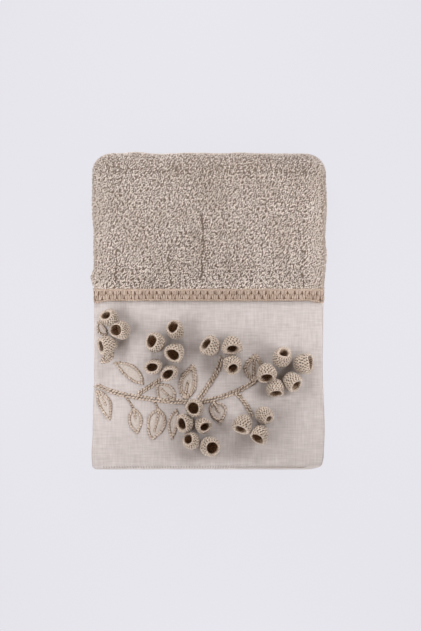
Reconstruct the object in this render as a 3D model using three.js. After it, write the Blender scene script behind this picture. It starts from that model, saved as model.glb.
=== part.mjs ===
// A terry bath towel with an embroidered linen end, folded in thirds and then in quarters, and laid flat.
// Millimetres, +Z up, +X across the folded towel, +Y from the linen's hem to the fold at the top.
// The origin is at the middle of the footprint, on the surface that the towel lies on.
import * as THREE from "three";

// Driving sizes of the folded towel
const foldedWidth = 230;
const topFoldY = 159;
const frontFoldY = -151;
const terrySeamY = 22.3;
const linenSeamY = 10.7;
const innerHemY = -142;
const linenBendY = -145.9;
const cornerRadius = 20;
const pieceGap = 0.3;

// Cloths of the strip: ply is the thickness of one layer and gap the air between two layers
const terry = { ply: 3.4, gap: 0.5, color: 0xb3a599, roughness: 0.95 };
const crochet = { ply: 2.0, gap: 0.4, color: 0xaf9d8c, roughness: 0.9 };
const linen = { ply: 1.2, gap: 0.5, color: 0xc8bfba, roughness: 0.85 };
const yarn = { color: 0xb9aa98, roughness: 0.9 };

// Heights: four strips of three layers lie on each other, a strip gap apart
const stripGap = 0.6;
const thicknessOf = ({ ply, gap }) => 3 * ply + 2 * gap;
const terryStrip = thicknessOf(terry);
const foldHeight = 2 * terryStrip + 1.5 * stripGap;
const topStripZ = 3 * (terryStrip + stripGap);
const linenTopZ = topStripZ + thicknessOf(linen);
const sewnOnZ = linenTopZ + pieceGap;

const radians = THREE.MathUtils.degToRad;
const ease = (share) => THREE.MathUtils.smoothstep(share, 0, 1);
const mix = ([from, to], share) => THREE.MathUtils.lerp(from, to, share);

// Half widths of the folded towel, measured from its middle line, down both sides
const sideRows = [
  { y: 150, left: 116, right: 116 },
  { y: 103, left: 116.5, right: 117.5 },
  { y: 75, left: 115, right: 116 },
  { y: 55, left: 115, right: 117.5 },
  { y: 31, left: 117.5, right: 115.5 },
  { y: 16, left: 115, right: 114.5 },
  { y: -60, left: 115, right: 114 },
  { y: -120, left: 116.5, right: 116 },
  { y: -144, left: 117.5, right: 115 },
  { y: -158, left: 117, right: 113 },
];

// Soft swellings of the terry's top face
const swellRows = [
  { x: -62, y: 105, reach: 34, rise: 0.9 },
  { x: 40, y: 118, reach: 40, rise: 0.7 },
  { x: 78, y: 66, reach: 30, rise: 1.0 },
  { x: -20, y: 62, reach: 30, rise: -0.8 },
  { x: -92, y: 58, reach: 24, rise: 0.6 },
];

// The towel's half width at y on the left (side -1) or right (side 1), drawn in round the top fold's corners
function halfWidthAt(y, side) {
  const column = side < 0 ? "left" : "right";
  const next = sideRows.findIndex((row) => row.y <= y);
  const lower = next < 0 ? sideRows.at(-1) : sideRows[next];
  const upper = next < 1 ? lower : sideRows[next - 1];
  const share = upper === lower ? 0 : (y - lower.y) / (upper.y - lower.y);
  const width = mix([lower[column], upper[column]], ease(share));
  const intoCorner = THREE.MathUtils.clamp(y - (topFoldY - cornerRadius), 0, cornerRadius);
  return width - cornerRadius + Math.sqrt(cornerRadius ** 2 - intoCorner ** 2);
}

function swellAt(x, y) {
  return swellRows.reduce((sum, row) => {
    const away = Math.hypot(x - row.x, y - row.y) / row.reach;
    return sum + row.rise * Math.exp(-away * away);
  }, 0);
}

// A closed solid through rings of points: each ring is the same clockwise outline, further along
function loft(rings, capOutline) {
  const count = rings[0].length;
  const index = [];
  for (let i = 0; i < rings.length - 1; i++) {
    for (let j = 0; j < count; j++) {
      const a = i * count + j;
      const b = i * count + ((j + 1) % count);
      index.push(a, b, b + count, a, b + count, a + count);
    }
  }
  const lastRing = (rings.length - 1) * count;
  for (const [a, b, c] of THREE.ShapeUtils.triangulateShape(capOutline, [])) {
    index.push(a, b, c, lastRing + c, lastRing + b, lastRing + a);
  }
  const geometry = new THREE.BufferGeometry().setFromPoints(rings.flat());
  geometry.setIndex(index);
  geometry.computeVertexNormals();
  return geometry;
}

// The outline of one cloth folded in thirds, seen along the strip: x across it, y above its inner side.
// The third that shows lies outermost, the left third under it, and the right third innermost.
function thirdsOutline({ ply, gap }) {
  const pitch = ply + gap;
  const half = foldedWidth / 2;
  const hiddenEdge = 1;
  const freeEdge = 6;
  const runSteps = 5;
  const bendSteps = 4;
  const leftBend = { x: -half + (pitch + ply) / 2, y: ply / 2 + 1.5 * pitch, radius: pitch / 2 };
  const rightBend = { x: half - pitch - ply / 2, y: ply / 2 + pitch, radius: pitch };
  const middle = [];
  const run = (fromX, toX, y, face) => {
    for (let i = 0; i < runSteps; i++) {
      middle.push({ x: mix([fromX, toX], i / runSteps), y, nx: 0, ny: face });
    }
  };
  const bend = ({ x, y, radius }, from, to) => {
    for (let i = 0; i < bendSteps; i++) {
      const angle = radians(mix([from, to], i / bendSteps));
      const [nx, ny] = [Math.cos(angle), Math.sin(angle)];
      middle.push({ x: x + radius * nx, y: y + radius * ny, nx, ny });
    }
  };
  run(rightBend.x - hiddenEdge, leftBend.x, ply / 2 + pitch, -1);
  bend(leftBend, -90, -270);
  run(leftBend.x, rightBend.x, ply / 2 + 2 * pitch, 1);
  bend(rightBend, 90, -90);
  run(rightBend.x, -half + freeEdge, ply / 2, -1);
  middle.push({ x: -half + freeEdge, y: ply / 2, nx: 0, ny: -1 });
  const offset = (side) => ({ x, y, nx, ny }) =>
    new THREE.Vector2(x + (side * nx * ply) / 2, y + (side * ny * ply) / 2);
  return [...middle.map(offset(1)), ...middle.map(offset(-1)).reverse()];
}

// Places along a strip, from rows that are runs at one height or bends round a centre.
// The line followed is the strip's inner side, and face says which way its outer face looks.
function stationsOf(rows) {
  return rows.flatMap((row, rowNumber) => {
    const last = rowNumber === rows.length - 1 ? 1 : 0;
    return Array.from({ length: row.steps + last }, (_, i) => {
      const share = i / row.steps;
      const station = {
        thick: mix(row.thick ?? [1, 1], ease(share)),
        wide: mix(row.wide ?? [1, 1], share),
        soft: mix(row.soft ?? [0, 0], share),
      };
      if (row.radius === undefined) {
        const y = mix([row.from, row.to], share);
        return { ...station, y, z: row.z, ny: 0, nz: row.face };
      }
      const angle = radians(mix([row.from, row.to], share));
      const [cos, sin] = [Math.cos(angle), Math.sin(angle)];
      const y = row.y + row.radius * cos;
      return { ...station, y, z: row.z + row.radius * sin, ny: row.face * cos, nz: row.face * sin };
    });
  });
}

// A folded cloth: its outline carried along the strip's rows, then fitted to the towel's own edges
function foldedStrip(cloth, rows) {
  const outline = thirdsOutline(cloth);
  const skin = thicknessOf(cloth) - cloth.ply / 2;
  const rings = stationsOf(rows).map(({ y, z, ny, nz, thick, wide, soft }) =>
    outline.map((point) => {
      const atY = y + ny * thick * point.y;
      const x = (wide * point.x * halfWidthAt(atY, Math.sign(point.x))) / (foldedWidth / 2);
      const swell = point.y > skin ? soft * swellAt(x, atY) : 0;
      return new THREE.Vector3(x, atY, z + nz * thick * point.y + swell);
    }),
  );
  return loft(rings, outline);
}

const towel = new THREE.Group();

function addPiece(name, geometry, { color, roughness }) {
  const material = new THREE.MeshStandardMaterial({ color, roughness, metalness: 0 });
  const mesh = new THREE.Mesh(geometry, material);
  mesh.name = name;
  towel.add(mesh);
  return mesh;
}

// Terry body: on top from the seam to the top fold, round under the stack, and back and forth inside it
const topBendY = topFoldY - foldHeight;
const frontBend = { y: frontFoldY + terryStrip + stripGap / 2, radius: stripGap / 2 };
const seamShare = thicknessOf(crochet) / terryStrip;
const slopeEndY = terrySeamY + 30;
const hemStartY = innerHemY + 16;
const hemShare = 0.72;
const terryRows = [
  { from: terrySeamY, to: slopeEndY, z: topStripZ, face: 1, thick: [seamShare, 1], soft: [0, 1], steps: 4 },
  { from: slopeEndY, to: topBendY, z: topStripZ, face: 1, soft: [1, 1], steps: 4 },
  {
    y: topBendY, z: foldHeight, radius: terryStrip + 1.5 * stripGap, from: 90, to: -90, face: 1,
    wide: [1, 0.985], soft: [1, 0], steps: 8,
  },
  { from: topBendY, to: frontBend.y, z: terryStrip, face: -1, wide: [0.985, 0.98], steps: 6 },
  {
    y: frontBend.y, z: terryStrip + stripGap / 2, radius: frontBend.radius, from: -90, to: -270, face: 1,
    wide: [0.98, 0.972], steps: 6,
  },
  { from: frontBend.y, to: topBendY, z: terryStrip + stripGap, face: 1, wide: [0.972, 0.975], steps: 6 },
  {
    y: topBendY, z: foldHeight, radius: terryStrip + stripGap / 2, from: -90, to: 90, face: -1,
    wide: [0.975, 0.975], steps: 6,
  },
  { from: topBendY, to: hemStartY, z: topStripZ - stripGap, face: -1, wide: [0.975, 0.978], steps: 6 },
  {
    from: hemStartY, to: innerHemY, z: topStripZ - stripGap, face: -1,
    thick: [1, hemShare], wide: [0.978, 0.978], steps: 2,
  },
];
addPiece("terry_body", foldedStrip(terry, terryRows), terry);

// Crochet insertion: the narrow crocheted strip between the terry and the linen
const crochetRows = [
  { from: linenSeamY + pieceGap, to: terrySeamY - pieceGap, z: topStripZ, face: 1, steps: 1 },
];
addPiece("crochet_insertion", foldedStrip(crochet, crochetRows), crochet);

// Linen panel: flat over the stack, its hem drooping over the front
const linenDroop = 15;
const linenRows = [
  { y: linenBendY, z: topStripZ - linenDroop, radius: linenDroop, from: 132, to: 90, face: 1, steps: 4 },
  { from: linenBendY, to: linenSeamY, z: topStripZ, face: 1, steps: 6 },
];
addPiece("linen_panel", foldedStrip(linen, linenRows), linen);

// Stems: rope-like stitching in relief, a half-round ridge along a smooth line through its points
const stemRows = [
  {
    name: "stem_main", halfWidth: 2.2, rise: 2.0,
    points: [
      { x: -113, y: -73.5 }, { x: -94, y: -81.4 }, { x: -64, y: -87.3 }, { x: -34, y: -90.4 },
      { x: -4, y: -90 }, { x: 25, y: -81.5 }, { x: 45.5, y: -70.5 },
    ],
  },
  {
    name: "stem_left", halfWidth: 2.0, rise: 1.8,
    points: [{ x: -70, y: -82.2 }, { x: -61.5, y: -77 }, { x: -48.5, y: -68.5 }],
  },
  {
    name: "stem_middle", halfWidth: 2.0, rise: 1.8,
    points: [{ x: -9, y: -86.2 }, { x: 3, y: -69 }, { x: 8.5, y: -59 }, { x: 11.5, y: -49.5 }],
  },
  {
    name: "stem_low", halfWidth: 1.9, rise: 1.7,
    points: [{ x: 29, y: -83.6 }, { x: 34, y: -89.5 }, { x: 38.5, y: -96 }, { x: 42, y: -102.5 }],
  },
  {
    name: "stalk_near", halfWidth: 1.1, rise: 1.2,
    points: [{ x: -82, y: -88 }, { x: -78.5, y: -92 }, { x: -75.5, y: -97 }],
  },
  {
    name: "stalk_mid", halfWidth: 1.1, rise: 1.2,
    points: [{ x: -54, y: -92.4 }, { x: -52, y: -95 }, { x: -51, y: -97.5 }],
  },
];
const stemStep = 4;
for (const { name, halfWidth, rise, points } of stemRows) {
  const line = new THREE.CatmullRomCurve3(points.map(({ x, y }) => new THREE.Vector3(x, y, sewnOnZ)));
  const ridge = new THREE.Shape().absellipse(0, 0, rise, halfWidth, Math.PI / 2, 1.5 * Math.PI);
  const steps = Math.ceil(line.getLength() / stemStep);
  addPiece(name, new THREE.ExtrudeGeometry(ridge, { extrudePath: line, steps, curveSegments: 3 }), yarn);
}

// Leaves: a pointed pad with a raised rim and midrib, from base to tip, its midrib swung sideways by bend
const leafRows = [
  { name: "leaf_1", base: [-66, -73.5], tip: [-95, -51], width: 14, bend: -3 },
  { name: "leaf_2", base: [-111, -80.5], tip: [-100, -107.5], width: 11, bend: 2 },
  { name: "leaf_3", base: [-75, -98.5], tip: [-72, -121], width: 12, bend: 0 },
  { name: "leaf_4", base: [-50.5, -99], tip: [-57, -127], width: 17, bend: 1 },
  { name: "leaf_5", base: [-37, -87], tip: [-47, -74.5], width: 10, bend: 1 },
  { name: "leaf_6", base: [-24, -86.5], tip: [-16, -56], width: 16, bend: 1 },
  { name: "leaf_7", base: [5, -92], tip: [12, -110], width: 15, bend: 1 },
  { name: "leaf_8", base: [42, -66.5], tip: [49, -45], width: 14, bend: 1 },
  { name: "leaf_9", base: [-103.5, -24], tip: [-110, -11], width: 7, bend: 1 },
  { name: "leaf_10", base: [-97, -43.5], tip: [-107, -51], width: 7, bend: 0 },
  { name: "leaf_11", base: [-33, -100], tip: [-37, -126], width: 8, bend: -1 },
];
const leafAcross = [
  { across: -1, rise: 0 },
  { across: -1, rise: 1.3 },
  { across: -0.78, rise: 1.7 },
  { across: -0.45, rise: 0.9 },
  { across: 0, rise: 1.4 },
  { across: 0.45, rise: 0.9 },
  { across: 0.78, rise: 1.7 },
  { across: 1, rise: 1.3 },
  { across: 1, rise: 0 },
];
const leafSteps = 8;
const leafEnd = 0.14;
for (const { name, base, tip, width, bend } of leafRows) {
  const from = new THREE.Vector2(...base);
  const to = new THREE.Vector2(...tip);
  const along = to.clone().sub(from).normalize();
  const aside = new THREE.Vector2(along.y, -along.x);
  const rib = new THREE.QuadraticBezierCurve(
    from, from.clone().lerp(to, 0.5).addScaledVector(aside, -2 * bend), to,
  );
  const rings = Array.from({ length: leafSteps + 1 }, (_, i) => {
    const share = i / leafSteps;
    const swell = Math.max(leafEnd, Math.sin(Math.PI * share ** 0.85) ** 0.8);
    const point = rib.getPoint(share);
    return leafAcross.map(({ across, rise }) => {
      const place = point.clone().addScaledVector(aside, (across * swell * width) / 2);
      return new THREE.Vector3(place.x, place.y, sewnOnZ + rise);
    });
  });
  addPiece(name, loft(rings, leafAcross.map(({ across, rise }) => new THREE.Vector2(across, rise))), yarn);
}

// Crocheted cups: the wall's section, from the closed end up the outside, over the lip and down the inside
const cupProfile = [
  { radius: 0, height: 0 },
  { radius: 4.2, height: 0.4 },
  { radius: 7.2, height: 3.2 },
  { radius: 8.8, height: 7.4 },
  { radius: 8.7, height: 11 },
  { radius: 7.8, height: 14 },
  { radius: 6.5, height: 15.8 },
  { radius: 5.2, height: 15.1 },
  { radius: 6.3, height: 11.2 },
  { radius: 6.7, height: 7.8 },
  { radius: 5.2, height: 4.4 },
  { radius: 2.4, height: 2.5 },
  { radius: 0, height: 2.2 },
].map(({ radius, height }) => new THREE.Vector2(radius, height));
const cupSides = 10;
const cupMiddle = 8.5;

// One row a cup: its middle at x, y, its lean from upright towards a compass angle from +X, its size,
// and pinch, the share of its breadth that is left across the lean
const cupRows = [
  { name: "cup_a1", x: -99.7, y: -7, lean: 38, towards: 135, size: 0.9, pinch: 0.95 },
  { name: "cup_a2", x: -87.2, y: -19.4, lean: 45, towards: 180, size: 1.0, pinch: 1.0 },
  { name: "cup_a3", x: -99.7, y: -33.2, lean: 62, towards: 190, size: 0.98, pinch: 0.92 },
  { name: "cup_b1", x: -33.5, y: -18.6, lean: 35, towards: 120, size: 1.0, pinch: 0.9 },
  { name: "cup_b2", x: -53.3, y: -32, lean: 38, towards: 160, size: 1.07, pinch: 1.0 },
  { name: "cup_b3", x: -34, y: -41.5, lean: 18, towards: 225, size: 1.1, pinch: 0.95 },
  { name: "cup_b4", x: -56.8, y: -55.8, lean: 14, towards: 200, size: 0.98, pinch: 0.8 },
  { name: "cup_b5", x: -39, y: -61.8, lean: 20, towards: 218, size: 1.0, pinch: 0.82 },
  { name: "cup_c1", x: 1.8, y: -34.8, lean: 42, towards: 155, size: 1.05, pinch: 1.0 },
  { name: "cup_c2", x: 22.5, y: -34.3, lean: 28, towards: 285, size: 1.07, pinch: 1.0 },
  { name: "cup_c3", x: 23.8, y: -54.2, lean: 38, towards: 280, size: 1.04, pinch: 1.0 },
  { name: "cup_d1", x: 73.5, y: -46, lean: 45, towards: 68, size: 1.0, pinch: 0.96 },
  { name: "cup_d2", x: 94.5, y: -53.8, lean: 70, towards: 8, size: 1.1, pinch: 1.0 },
  { name: "cup_d3", x: 60, y: -63, lean: 42, towards: 262, size: 1.06, pinch: 1.0 },
  { name: "cup_d4", x: 83, y: -69.5, lean: 52, towards: 315, size: 1.05, pinch: 0.94 },
  { name: "cup_d5", x: 67, y: -80.3, lean: 58, towards: 272, size: 0.98, pinch: 1.0 },
  { name: "cup_e1", x: -15, y: -98.9, lean: 12, towards: 160, size: 1.0, pinch: 0.96 },
  { name: "cup_e2", x: -25, y: -113.3, lean: 28, towards: 190, size: 0.98, pinch: 1.0 },
  { name: "cup_e3", x: -5, y: -116, lean: 24, towards: 330, size: 0.95, pinch: 0.86 },
  { name: "cup_e4", x: -19.8, y: -130, lean: 36, towards: 150, size: 0.95, pinch: 1.0 },
  { name: "cup_e5", x: 0, y: -134.6, lean: 24, towards: 335, size: 1.08, pinch: 0.96 },
  { name: "cup_f1", x: 33.7, y: -112.4, lean: 45, towards: 248, size: 1.06, pinch: 0.96 },
  { name: "cup_f2", x: 56, y: -104, lean: 60, towards: 322, size: 1.0, pinch: 0.94 },
  { name: "cup_f3", x: 51, y: -123, lean: 46, towards: 238, size: 1.02, pinch: 1.0 },
];
for (const { name, x, y, lean, towards, size, pinch } of cupRows) {
  const cup = addPiece(name, new THREE.LatheGeometry(cupProfile, cupSides), yarn);
  const [tilt, compass] = [radians(lean), radians(towards)];
  const heading = new THREE.Vector3(Math.cos(compass), Math.sin(compass), 0);
  const up = new THREE.Vector3(0, 0, 1);
  const axis = heading.clone().multiplyScalar(Math.sin(tilt)).addScaledVector(up, Math.cos(tilt));
  const down = heading.clone().multiplyScalar(Math.cos(tilt)).addScaledVector(up, -Math.sin(tilt));
  cup.quaternion.setFromRotationMatrix(new THREE.Matrix4().makeBasis(down, axis, down.clone().cross(axis)));
  cup.scale.set(size, size, size * pinch);
  const middle = axis.clone().multiplyScalar(cupMiddle * size);
  cup.position.set(x - middle.x, y - middle.y, 0);
  cup.updateMatrix();
  const lowest = new THREE.Box3().setFromBufferAttribute(
    cup.geometry.clone().applyMatrix4(cup.matrix).getAttribute("position"),
  ).min.z;
  cup.position.z = sewnOnZ - lowest;
}

export default towel;
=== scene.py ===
import bpy
import numpy as np
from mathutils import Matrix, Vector


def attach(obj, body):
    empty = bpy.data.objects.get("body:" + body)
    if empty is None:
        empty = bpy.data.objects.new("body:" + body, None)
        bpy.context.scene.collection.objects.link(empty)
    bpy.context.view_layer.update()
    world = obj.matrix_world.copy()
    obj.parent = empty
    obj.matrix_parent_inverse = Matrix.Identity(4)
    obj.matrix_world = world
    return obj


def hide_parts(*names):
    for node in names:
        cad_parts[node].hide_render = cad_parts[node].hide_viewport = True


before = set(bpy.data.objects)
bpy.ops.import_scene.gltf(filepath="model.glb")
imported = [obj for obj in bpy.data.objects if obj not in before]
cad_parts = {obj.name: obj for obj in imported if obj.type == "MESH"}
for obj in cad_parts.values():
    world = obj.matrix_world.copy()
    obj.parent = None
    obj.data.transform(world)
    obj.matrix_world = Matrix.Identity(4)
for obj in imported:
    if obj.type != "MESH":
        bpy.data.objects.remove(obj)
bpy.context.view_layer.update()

# The terry's ground cloth, a plain woven cotton folded in thirds across the towel, then in half twice along it.
# It lies on top from the seam to the top fold, turns round the whole stack there, and comes back inside it.
# All shapes are worked out in millimetres, in the same frame as the solids, and written in metres.
MM = 0.001
FOLDED_WIDTH = 230.0
TOP_FOLD_Y = 159.0
CORNER_RADIUS = 20.0
TERRY_STRIP = 11.2
STRIP_GAP = 0.6
TOP_STRIP_Z = 3 * (TERRY_STRIP + STRIP_GAP)
LINEN_TOP_Z = TOP_STRIP_Z + 4.6
SIDES = np.array([
    # y, half width on the left, half width on the right
    (-158, 117.0, 113.0), (-144, 117.5, 115.0), (-120, 116.5, 116.0), (-60, 115.0, 114.0), (16, 115.0, 114.5),
    (24, 115.5, 115.0), (33, 118.0, 115.5), (43, 115.2, 116.5), (55, 115.0, 117.5), (75, 115.0, 116.0),
    (103, 116.5, 117.5), (150, 116.0, 116.0),
])
LOW_CORNERS = [
    # side, inset at the hem, height over which the corner turns
    (-1, 5.0, 4.0), (1, 15.0, 5.5),
]
SWELLS = [
    # x, y, reach, rise
    (-62, 105, 34, 0.9), (40, 118, 40, 0.7), (78, 66, 30, 1.0), (-20, 62, 30, -0.8), (-92, 58, 24, 0.6),
    (-74, 158, 9, 3.0), (-50, 158, 9, -1.0), (-21, 158, 7, 1.5), (-6, 158, 6, 1.2), (31, 158, 8, 1.6),
    (80, 158, 24, -0.9),
]


def half_width(y, side):
    """The towel's half width at y on its left (side < 0) or right: the rows of SIDES joined by eased steps,
    less the corner R - sqrt(R^2 - d^2), where d is how far y lies inside the top corner, and less the same
    round of each low corner, where it is an ellipse."""
    rows = SIDES[:, 0]
    low = np.clip(np.searchsorted(rows, y, side="right") - 1, 0, len(rows) - 2)
    share = np.clip((y - rows[low]) / (rows[low + 1] - rows[low]), 0, 1)
    share = share * share * (3 - 2 * share)
    column = np.where(side < 0, 1, 2)
    width = SIDES[low, column] * (1 - share) + SIDES[low + 1, column] * share
    inside = np.clip(y - (TOP_FOLD_Y - CORNER_RADIUS), 0, CORNER_RADIUS)
    for edge, inset, height in LOW_CORNERS:
        low_share = np.clip((height - TOP_FOLD_Y - y) / height, 0, 1) * (side * edge > 0)
        width = width - inset * (1 - np.sqrt(1 - low_share**2))
    return width - CORNER_RADIUS + np.sqrt(CORNER_RADIUS**2 - inside**2)


def thirds(ply, gap, steps):
    """The middle line of a cloth folded in thirds, seen along the strip: x, height h and unit normal (nx, nh).
    Runs lie at h = ply/2 + k (ply + gap) for k = 0, 1, 2, and half circles of radius pitch/2 and pitch, with
    pitch = ply + gap, join them."""
    pitch, half = ply + gap, FOLDED_WIDTH / 2
    left, right = -half + (pitch + ply) / 2, half - pitch - ply / 2
    hidden, bend, shown, lowest = steps
    rows = []

    def run(start, end, h, face, count):
        x = np.linspace(start, end, count, endpoint=False)
        rows.append(np.stack([x, np.full(count, h), np.zeros(count), np.full(count, face)], 1))

    def turn(x, h, radius, start, end, count):
        a = np.radians(np.linspace(start, end, count, endpoint=False))
        rows.append(np.stack([x + radius * np.cos(a), h + radius * np.sin(a), np.cos(a), np.sin(a)], 1))

    run(right - 1, left, ply / 2 + pitch, -1.0, hidden)
    turn(left, ply / 2 + 1.5 * pitch, pitch / 2, -90, -270, bend)
    run(left, right, ply / 2 + 2 * pitch, 1.0, shown)
    turn(right, ply / 2 + pitch, pitch, 90, -90, bend)
    run(right, -half + 6, ply / 2, -1.0, lowest)
    rows.append(np.array([[-half + 6, ply / 2, 0.0, -1.0]]))
    return np.concatenate(rows)


def along(rows):
    """Places along a strip, from rows that are straight runs at one height or turns round a centre, as
    columns y, z, the outer face's direction (ny, nz), thickness share, width share and softness share."""
    out = []
    for i, row in enumerate(rows):
        last = i == len(rows) - 1
        t = np.linspace(0, 1, row["steps"] + last, endpoint=last)
        mix = lambda pair, w: pair[0] * (1 - w) + pair[1] * w
        extra = [mix(row.get("thick", (1, 1)), t * t * (3 - 2 * t)), mix(row.get("wide", (1, 1)), t),
                 mix(row.get("soft", (0, 0)), t)]
        here = mix(row["span"], t)
        if "radius" in row:
            c, s = np.cos(np.radians(here)), np.sin(np.radians(here))
            turned = row["radius"] * np.stack([c, s])
            first = [row["y"] + turned[0], row["z"] + turned[1], row["face"] * c, row["face"] * s]
        else:
            first = [here, np.full_like(t, row["z"]), np.zeros_like(t), np.full_like(t, row["face"])]
        out.append(np.stack([*first, *extra], 1))
    return np.concatenate(out)


def place(x, h, at, relief, stack):
    """Points of a folded cloth: section place (x, h) carried to strip place at, with the section's h laid
    along the strip's normal and x stretched to the towel's own edges. relief(x, y) lifts the top skin, where h
    is near stack."""
    y0, z0, ny, nz, thick, wide, soft = np.moveaxis(at, -1, 0)
    y = y0 + ny * thick * h
    px = wide * x * half_width(y, np.sign(x)) / (FOLDED_WIDTH / 2)
    lift = relief(px, y) * soft * np.clip((h / stack - 0.8) / 0.15, 0, 1)
    return np.stack(np.broadcast_arrays(px, y + ny * lift, z0 + nz * thick * h + nz * lift), -1)


def grid_faces(rows, columns, wrap=False):
    """Quads of a grid of points numbered row by row, the columns closed on themselves if wrap is set."""
    i, j = np.meshgrid(np.arange(rows - 1), np.arange(columns if wrap else columns - 1), indexing="ij")
    a, b = i * columns + j, i * columns + (j + 1) % columns
    return np.stack([a, b, b + columns, a + columns], -1).reshape(-1, 4)


def piece(name, points, faces, material, slot, nodes=(), **numbers):
    """A finished mesh piece from points in millimetres and quads; numbers are stored as one value a point."""
    mesh = bpy.data.meshes.new(name)
    mesh.vertices.add(len(points))
    mesh.vertices.foreach_set("co", (points * MM).astype(np.float32).ravel())
    mesh.loops.add(faces.size)
    mesh.loops.foreach_set("vertex_index", faces.astype(np.int32).ravel())
    mesh.polygons.add(len(faces))
    mesh.polygons.foreach_set("loop_start", np.arange(0, faces.size, faces.shape[1], dtype=np.int32))
    for key, value in numbers.items():
        layer = mesh.attributes.new(key, "FLOAT", "POINT")
        layer.data.foreach_set("value", np.broadcast_to(value, len(points)).astype(np.float32).ravel())
    mesh.update(calc_edges=True)
    mesh.validate()
    mesh.shade_smooth()
    mesh.materials.append(material)
    made = bpy.data.objects.new(name, mesh)
    bpy.context.scene.collection.objects.link(made)
    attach(made, "root")
    if nodes:
        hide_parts(*nodes)
    return made


def colour(code):
    """An sRGB hex colour as linear red, green, blue and alpha."""
    c = np.array([int(code[i:i + 2], 16) for i in (1, 3, 5)]) / 255
    return (*np.where(c <= 0.04045, c / 12.92, ((c + 0.055) / 1.055) ** 2.4), 1.0)


def add(tree, kind, settings=None, output=0, **inputs):
    """A shader node of that kind, its settings made, each named or numbered input given a value or a link."""
    made = tree.nodes.new("ShaderNode" + kind)
    for key, value in (settings or {}).items():
        setattr(made, key, value)
    for key, value in inputs.items():
        numbered = key[0] == "i" and key[1:].isdigit()
        socket = made.inputs[int(key[1:]) if numbered else key.replace("_", " ")]
        if isinstance(value, bpy.types.NodeSocket):
            tree.links.new(value, socket)
        else:
            socket.default_value = value
    return made.outputs[output]


def stored(tree, name):
    """The numbers that a piece's points hold under that name."""
    return add(tree, "Attribute", {"attribute_name": name}, output="Fac")


def ramp(tree, value, low, high):
    """Colour from low to high as value goes from 0 to 1."""
    made = tree.nodes.new("ShaderNodeMix")
    made.data_type = "RGBA"
    tree.links.new(value, made.inputs[0])
    for socket, code in ((made.inputs[6], low), (made.inputs[7], high)):
        if isinstance(code, bpy.types.NodeSocket):
            tree.links.new(code, socket)
        else:
            socket.default_value = colour(code)
    return made.outputs[2]


def cloth_material(name, roughness, sheen):
    """A matte cotton or linen shader: returns the material, its tree and its surface node."""
    material = bpy.data.materials.new(name)
    material.use_nodes = True
    surface = material.node_tree.nodes["Principled BSDF"]
    surface.inputs["Roughness"].default_value = roughness
    surface.inputs["Specular IOR Level"].default_value = 0.15
    surface.inputs["Sheen Weight"].default_value = sheen
    surface.inputs["Sheen Roughness"].default_value = 0.6
    return material, material.node_tree, surface


def scaled_place(tree, x, y, z):
    """Object coordinates times the given counts a metre."""
    place_of = tree.nodes.new("ShaderNodeTexCoord").outputs["Object"]
    return add(tree, "VectorMath", {"operation": "MULTIPLY"}, i0=place_of, i1=(x, y, z))


# Terry ground: cotton between the loops, painted darker than the pile as painted shade, lighter round the side
# bends.
ground_cotton, tree, surface = cloth_material("terry ground cotton", 0.95, 0.1)
weave = add(tree, "TexNoise", None, Vector=scaled_place(tree, 900, 900, 900), Scale=1.0, Detail=3.0)
# Painted shade: the ground's dark colour stands for the loops' shade on it, and is lifted round the side bends
# (bent).
root_shade = ramp(tree, weave, "#74655a", "#928377")
skin = ramp(tree, stored(tree, "bent"), root_shade, "#c6b8ab")
# The lowest skin, under 2 mm above the floor, has few modelled loops, and its tufts, 1.8 mm apart, are colour
# and bump: the hollows between them are painted dark, as painted shade.
height = add(tree, "SeparateXYZ", None, output=2, Vector=scaled_place(tree, 1, 1, 1))
lowest = add(tree, "MapRange", None, Value=height, i1=0.0021, i2=0.0013)
hollow = add(tree, "TexVoronoi", None, Vector=scaled_place(tree, 560, 560, 560), Scale=1.0)
tuft = add(tree, "MapRange", None, Value=hollow, i1=0.75, i2=0.15)
skin = ramp(tree, lowest, skin, ramp(tree, tuft, "#86776b", "#ded2c8"))
tree.links.new(skin, surface.inputs["Base Color"])
raised = add(tree, "Math", {"operation": "MULTIPLY"}, i0=tuft, i1=lowest)
raised = add(tree, "Math", {"operation": "MULTIPLY_ADD"}, i0=raised, i1=1.5, i2=weave)
tree.links.new(add(tree, "Bump", None, Strength=0.5, Distance=0.0006, Height=raised), surface.inputs["Normal"])

PLY = 2.2
TERRY_ROWS = [
    {"span": (22.3, 52.3), "z": TOP_STRIP_Z, "face": 1, "thick": (6.8 / TERRY_STRIP, 1), "soft": (0, 1),
     "steps": 14},
    {"span": (52.3, 135.7), "z": TOP_STRIP_Z, "face": 1, "soft": (1, 1), "steps": 30},
    {"span": (90, -90), "y": 135.7, "z": 23.3, "radius": 12.1, "face": 1, "wide": (1, 0.985), "soft": (1, 0),
     "steps": 20},
    {"span": (135.7, -139.5), "z": TERRY_STRIP, "face": -1, "wide": (0.985, 0.98), "steps": 16},
    {"span": (-90, -270), "y": -139.5, "z": 11.5, "radius": 0.3, "face": 1, "wide": (0.98, 0.972), "steps": 12},
    {"span": (-139.5, 135.7), "z": 11.8, "face": 1, "wide": (0.972, 0.975), "steps": 12},
    {"span": (-90, 90), "y": 135.7, "z": 23.3, "radius": 11.5, "face": -1, "wide": (0.975, 0.975), "steps": 10},
    {"span": (135.7, -126), "z": 34.8, "face": -1, "wide": (0.975, 0.978), "steps": 12},
    {"span": (-126, -142), "z": 34.8, "face": -1, "thick": (1, 0.72), "wide": (0.978, 0.978), "steps": 4},
]


def terry_relief(x, y):
    """Lift of the terry's top and of its fold: the sum of the swells, each rise exp(-(r/reach)^2)."""
    return sum(rise * np.exp(-((x - cx) ** 2 + (y - cy) ** 2) / reach**2) for cx, cy, reach, rise in SWELLS)


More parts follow.
